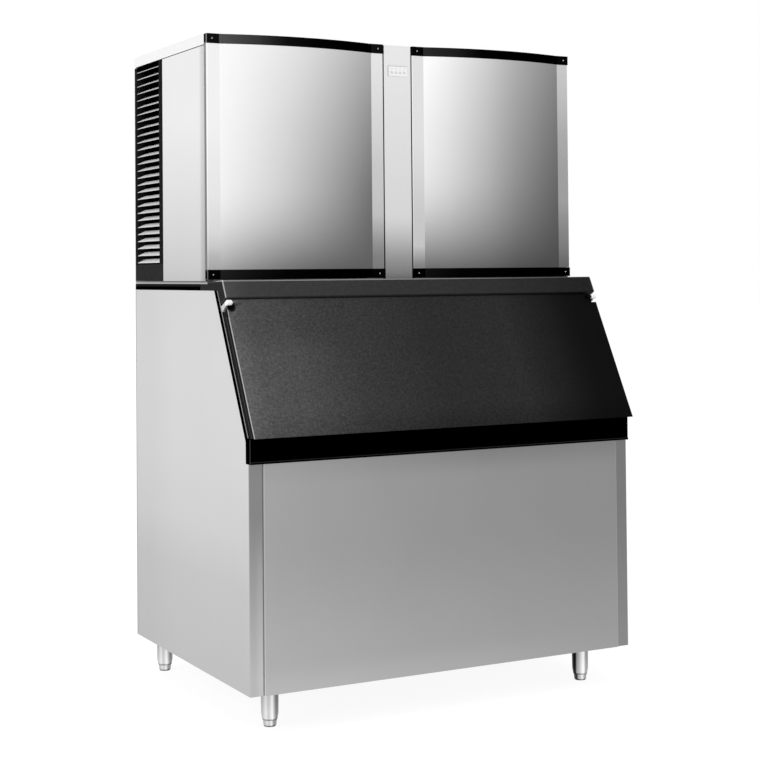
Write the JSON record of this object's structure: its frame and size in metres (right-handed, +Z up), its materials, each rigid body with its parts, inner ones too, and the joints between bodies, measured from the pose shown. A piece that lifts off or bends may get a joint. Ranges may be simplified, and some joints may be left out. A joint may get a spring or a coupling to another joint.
{
  "type": "commercial ice maker",
  "caption": "Free-standing commercial ice maker: ice-making head with bowed steel front panels on an insulated storage bin with a sloped lift-up door and levelling legs.",
  "frame": {"origin": "on the floor under the middle of the machine, door included", "axes": "+X to the right of someone standing in front, +Y towards the back, +Z up"},
  "size_m": [1.23, 0.9286, 1.91],
  "materials": {
    "brushed_steel": "fine vertical brushed grain",
    "bright_steel": "polished",
    "zinc_sheet": "dull zinc",
    "black_plastic": "smooth satin moulding",
    "grained_black": "fine leather grain",
    "black_rubber": "matt",
    "white_plastic": "smooth",
    "grey_plastic": "fine matt",
    "clear_curtain": "clear",
    "yellow_foam": "cut foam",
    "black_enamel": "baked enamel",
    "fin_aluminium": "thin fins",
    "nickel_plate": "satin plated",
    "copper_pipe": "bright drawn copper",
    "brass_fitting": "turned"
  },
  "bodies": {
    "cabinet": {"bin_side_left": "brushed_steel", "bin_side_right": "brushed_steel", "bin_front_panel": "brushed_steel", "bin_back_panel": "brushed_steel", "bin_base": "zinc_sheet", "bin_insulation": "yellow_foam", "bin_liner": "white_plastic", "bin_drain": "grey_plastic", "bin_top_rim": "black_plastic", "top_fascia": "grained_black", "door_frame": "black_plastic", "leg_front_left": "bright_steel", "leg_front_right": "bright_steel", "leg_rear_left": "bright_steel", "leg_rear_right": "bright_steel", "hinge_left": "white_plastic", "hinge_right": "white_plastic", "head_base": "bright_steel", "head_side_left": "brushed_steel", "head_side_right": "brushed_steel", "louvre_left": "black_enamel", "louvre_right": "black_enamel", "head_back_panel": "brushed_steel", "head_top_panel": "brushed_steel", "centre_pillar": "brushed_steel", "front_panel_left": "brushed_steel", "front_panel_right": "brushed_steel", "cap_top_left": "black_plastic", "cap_top_right": "black_plastic", "cap_bottom_left": "black_plastic", "cap_bottom_right": "black_plastic", "control_plate": "white_plastic", "bulkhead": "zinc_sheet", "compressor": "black_enamel", "condenser": "fin_aluminium", "fan_motor": "black_enamel", "control_box": "grey_plastic", "discharge_line": "copper_pipe", "liquid_line": "copper_pipe", "suction_line": "copper_pipe", "water_inlet": "brass_fitting", "power_gland": "black_plastic", "freezer_liner": "white_plastic", "evaporator": "nickel_plate", "water_trough": "grey_plastic", "water_pump": "black_enamel", "distributor_tube": "white_plastic"},
    "door": {"door_panel": "grained_black", "door_liner": "white_plastic", "door_gasket": "black_rubber"},
    "front_left_foot": {"foot_front_left": "bright_steel"},
    "front_right_foot": {"foot_front_right": "bright_steel"},
    "rear_left_foot": {"foot_rear_left": "bright_steel"},
    "rear_right_foot": {"foot_rear_right": "bright_steel"},
    "button_1": {"push_button_1": "grey_plastic"},
    "button_2": {"push_button_2": "grey_plastic"},
    "button_3": {"push_button_3": "grey_plastic"},
    "button_4": {"push_button_4": "grey_plastic"},
    "fan": {"fan_blade": "grey_plastic"},
    "curtain": {"water_curtain": "clear_curtain"}
  },
  "joints": [
    {"name": "door_hinge", "type": "hinge", "parent": "cabinet", "child": "door", "pos_m": [0, -0.27833, 1.15211], "axis": [-1, 0, 0], "range_deg": [0, 160]},
    {"name": "foot_front_left_screw", "type": "slide", "parent": "cabinet", "child": "front_left_foot", "axis": [0, 0, -1], "range_m": [0, 0.02]},
    {"name": "foot_front_right_screw", "type": "slide", "parent": "cabinet", "child": "front_right_foot", "axis": [0, 0, -1], "range_m": [0, 0.02]},
    {"name": "foot_rear_left_screw", "type": "slide", "parent": "cabinet", "child": "rear_left_foot", "axis": [0, 0, -1], "range_m": [0, 0.02]},
    {"name": "foot_rear_right_screw", "type": "slide", "parent": "cabinet", "child": "rear_right_foot", "axis": [0, 0, -1], "range_m": [0, 0.02]},
    {"name": "button_1_press", "type": "slide", "parent": "cabinet", "child": "button_1", "axis": [0, 1, 0], "range_m": [0, 0.0008], "stiffness_N_per_m": 2000},
    {"name": "button_2_press", "type": "slide", "parent": "cabinet", "child": "button_2", "axis": [0, 1, 0], "range_m": [0, 0.0008], "stiffness_N_per_m": 2000},
    {"name": "button_3_press", "type": "slide", "parent": "cabinet", "child": "button_3", "axis": [0, 1, 0], "range_m": [0, 0.0008], "stiffness_N_per_m": 2000},
    {"name": "button_4_press", "type": "slide", "parent": "cabinet", "child": "button_4", "axis": [0, 1, 0], "range_m": [0, 0.0008], "stiffness_N_per_m": 2000},
    {"name": "fan_spin", "type": "hinge", "parent": "cabinet", "child": "fan", "pos_m": [-0.516, 0.3368, 1.4909], "axis": [1, 0, 0], "continuous": true},
    {"name": "curtain_swing", "type": "hinge", "parent": "cabinet", "child": "curtain", "pos_m": [0.28, 0.0748, 1.7459], "axis": [-1, 0, 0], "range_deg": [0, 30]}
  ]
}
